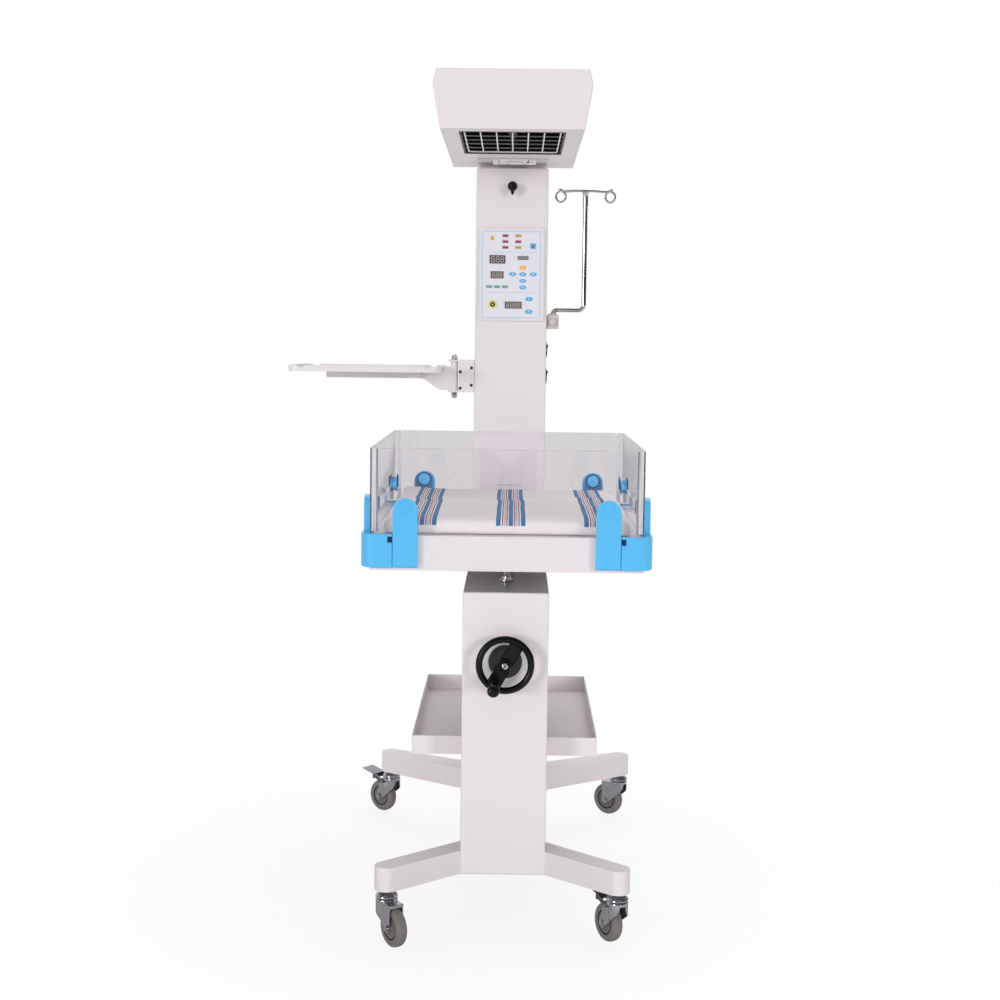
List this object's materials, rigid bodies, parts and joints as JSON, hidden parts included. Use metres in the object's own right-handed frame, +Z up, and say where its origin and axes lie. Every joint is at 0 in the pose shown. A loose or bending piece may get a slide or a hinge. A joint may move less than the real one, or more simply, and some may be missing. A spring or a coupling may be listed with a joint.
{
  "type": "infant radiant warmer",
  "caption": "Open infant care bed with clear fold-down sides on a wheeled stand, a handwheel that tilts it, side trays, drip pole and control column under a swivelling radiant heater.",
  "frame": {"origin": "on the floor under the middle of the whole warmer's box", "axes": "+Z up; +Y from the handwheel at the bed's front towards the tall column; +X to the right of someone at the handwheel, the drip pole's side"},
  "size_m": [0.8044, 1.0232, 1.68],
  "materials": {
    "white_paint": "warm off-white powder paint, satin",
    "white_plastic": "off-white moulded plastic, satin",
    "beige_plastic": "greyish beige moulded plastic",
    "blue_plastic": "bright sky-blue moulded plastic, soft sheen",
    "black_plastic": "glossy black plastic",
    "clear_panel": "clear acrylic, faintly grey",
    "sheet": "white cotton sheet with printed stripes",
    "chrome": "bright plated metal",
    "steel": "machined steel",
    "grey_rubber": "grey rubber tyre on a grey hub",
    "reflector_metal": "polished reflector sheet",
    "heater_ceramic": "quartz heater tube, dull grey",
    "board": "green circuit board"
  },
  "bodies": {
    "frame": {"base_frame": "white_paint", "lift_column": "white_paint", "lift_bush": "steel", "handwheel_bush": "black_plastic", "storage_tray": "white_paint", "pivot_bracket": "steel", "pivot_pin": "steel", "rear_column": "white_paint", "rear_cover": "white_paint", "power_inlet": "black_plastic", "control_panel": "white_plastic", "control_board": "board", "tray_bracket": "white_paint", "hinge_pin": "chrome", "iv_clamp": "beige_plastic"},
    "caster_fork_front_left": {"caster_fork_front_left": "chrome"},
    "caster_wheel_front_left": {"caster_wheel_front_left": "grey_rubber"},
    "caster_fork_front_right": {"caster_fork_front_right": "chrome"},
    "caster_wheel_front_right": {"caster_wheel_front_right": "grey_rubber"},
    "brake_pedal_front_right": {"brake_pedal_front_right": "chrome"},
    "caster_fork_rear_left": {"caster_fork_rear_left": "chrome"},
    "caster_wheel_rear_left": {"caster_wheel_rear_left": "grey_rubber"},
    "brake_pedal_rear_left": {"brake_pedal_rear_left": "chrome"},
    "caster_fork_rear_right": {"caster_fork_rear_right": "chrome"},
    "caster_wheel_rear_right": {"caster_wheel_rear_right": "grey_rubber"},
    "lift_gear": {"lift_gear": "steel"},
    "lift_screw": {"lift_screw": "steel"},
    "handwheel": {"handwheel_shaft": "steel", "handwheel": "black_plastic"},
    "wheel_grip": {"wheel_grip": "black_plastic"},
    "bed": {"bed_deck": "white_paint", "mattress": "sheet", "corner_block_front_left": "blue_plastic", "corner_block_rear_left": "blue_plastic", "corner_block_front_right": "blue_plastic", "corner_block_rear_right": "blue_plastic", "rear_panel": "clear_panel", "rear_arm_left": "blue_plastic", "rear_arm_right": "blue_plastic"},
    "front_panel_fold": {"front_panel": "clear_panel", "front_arm_left": "blue_plastic", "front_arm_right": "blue_plastic"},
    "left_panel_fold": {"left_panel": "clear_panel", "left_arm_front": "blue_plastic", "left_arm_rear": "blue_plastic"},
    "right_panel_fold": {"right_panel": "clear_panel", "right_arm_front": "blue_plastic", "right_arm_rear": "blue_plastic"},
    "lock_knob": {"lock_knob": "black_plastic"},
    "switch_upper": {"switch_upper": "black_plastic"},
    "switch_lower": {"switch_lower": "black_plastic"},
    "tray": {"tray_arm": "white_paint", "instrument_tray": "white_plastic"},
    "iv_pole": {"iv_pole": "chrome"},
    "head": {"head_hood": "white_paint", "head_base": "white_paint", "heater_grille": "chrome", "reflector": "reflector_metal", "heater_tube": "heater_ceramic", "swivel_post": "white_paint"}
  },
  "joints": [
    {"name": "bed_tilt", "type": "hinge", "parent": "frame", "child": "bed", "pos_m": [0.10181, -0.00339, 0.692], "axis": [-1, 0, 0], "range_deg": [-5, 5]},
    {"name": "lift_screw_slide", "type": "slide", "parent": "frame", "child": "lift_screw", "axis": [0, 0, 1], "range_m": [-0.0184, 0.0184]},
    {"name": "lift_gear_turn", "type": "hinge", "parent": "frame", "child": "lift_gear", "pos_m": [0.10181, -0.21339, 0.529], "axis": [0, 0, 1], "range_deg": [-661, 661]},
    {"name": "handwheel_turn", "type": "hinge", "parent": "frame", "child": "handwheel", "pos_m": [0.10181, -0.39739, 0.529], "axis": [0, 1, 0], "range_deg": [-661, 661]},
    {"name": "grip_turn", "type": "hinge", "parent": "handwheel", "child": "wheel_grip", "pos_m": [0.08081, -0.40139, 0.49263], "axis": [0, 1, 0], "continuous": true},
    {"name": "front_panel_hinge", "type": "hinge", "parent": "bed", "child": "front_panel_fold", "pos_m": [0.10181, -0.35069, 0.715], "axis": [1, 0, 0], "range_deg": [0, 95]},
    {"name": "left_panel_hinge", "type": "hinge", "parent": "bed", "child": "left_panel_fold", "pos_m": [-0.17249, -0.01839, 0.715], "axis": [0, -1, 0], "range_deg": [0, 180]},
    {"name": "right_panel_hinge", "type": "hinge", "parent": "bed", "child": "right_panel_fold", "pos_m": [0.37611, -0.01839, 0.715], "axis": [0, 1, 0], "range_deg": [0, 180]},
    {"name": "caster_swivel_front_left", "type": "hinge", "parent": "frame", "child": "caster_fork_front_left", "pos_m": [-0.11819, -0.45339, 0.104], "axis": [0, 0, 1], "continuous": true},
    {"name": "caster_roll_front_left", "type": "hinge", "parent": "caster_fork_front_left", "child": "caster_wheel_front_left", "pos_m": [-0.10253, -0.47661, 0.0375], "axis": [0.829, 0.5592, 0], "continuous": true},
    {"name": "caster_swivel_front_right", "type": "hinge", "parent": "frame", "child": "caster_fork_front_right", "pos_m": [0.32181, -0.45339, 0.104], "axis": [0, 0, 1], "continuous": true},
    {"name": "caster_roll_front_right", "type": "hinge", "parent": "caster_fork_front_right", "child": "caster_wheel_front_right", "pos_m": [0.30781, -0.42914, 0.0375], "axis": [-0.866, -0.5, 0], "continuous": true},
    {"name": "brake_press_front_right", "type": "hinge", "parent": "caster_fork_front_right", "child": "brake_pedal_front_right", "pos_m": [0.31381, -0.43954, 0.0768], "axis": [-0.866, -0.5, 0], "range_deg": [0, 13]},
    {"name": "caster_swivel_rear_left", "type": "hinge", "parent": "frame", "child": "caster_fork_rear_left", "pos_m": [-0.17419, 0.40261, 0.104], "axis": [0, 0, 1], "continuous": true},
    {"name": "caster_roll_rear_left", "type": "hinge", "parent": "caster_fork_rear_left", "child": "caster_wheel_rear_left", "pos_m": [-0.19564, 0.42061, 0.0375], "axis": [-0.6428, -0.766, 0], "continuous": true},
    {"name": "brake_press_rear_left", "type": "hinge", "parent": "caster_fork_rear_left", "child": "brake_pedal_rear_left", "pos_m": [-0.18645, 0.41289, 0.0768], "axis": [-0.6428, -0.766, 0], "range_deg": [0, 13]},
    {"name": "caster_swivel_rear_right", "type": "hinge", "parent": "frame", "child": "caster_fork_rear_right", "pos_m": [0.37781, 0.40261, 0.104], "axis": [0, 0, 1], "continuous": true},
    {"name": "caster_roll_rear_right", "type": "hinge", "parent": "caster_fork_rear_right", "child": "caster_wheel_rear_right", "pos_m": [0.35545, 0.41946, 0.0375], "axis": [-0.6018, -0.7986, 0], "continuous": true},
    {"name": "lock_knob_pull", "type": "slide", "parent": "frame", "child": "lock_knob", "axis": [0, -1, 0], "range_m": [0, 0.008], "stiffness_N_per_m": 300, "springref_m": -0.004},
    {"name": "switch_upper_rock", "type": "hinge", "parent": "frame", "child": "switch_upper", "pos_m": [0.18251, 0.35761, 1.129], "axis": [0, -1, 0], "range_deg": [0, 12]},
    {"name": "switch_lower_rock", "type": "hinge", "parent": "frame", "child": "switch_lower", "pos_m": [0.18251, 0.35761, 1.068], "axis": [0, -1, 0], "range_deg": [0, 12]},
    {"name": "tray_swing", "type": "hinge", "parent": "frame", "child": "tray", "pos_m": [-0.02919, 0.36161, 1.0655], "axis": [0, 0, 1], "range_deg": [-20, 90]},
    {"name": "pole_swivel", "type": "hinge", "parent": "frame", "child": "iv_pole", "pos_m": [0.19961, 0.37161, 1.2105], "axis": [0, 0, 1], "range_deg": [-90, 75]},
    {"name": "head_swivel", "type": "hinge", "parent": "frame", "child": "head", "pos_m": [0.10181, 0.41661, 1.563], "axis": [0, 0, 1], "range_deg": [-90, 90]}
  ],
  "couplings": [
    {"joint": "lift_screw_slide", "follows": "bed_tilt", "m_per_rad": 0.21},
    {"joint": "lift_gear_turn", "follows": "bed_tilt", "ratio": -131.95},
    {"joint": "handwheel_turn", "follows": "bed_tilt", "ratio": 131.95}
  ]
}
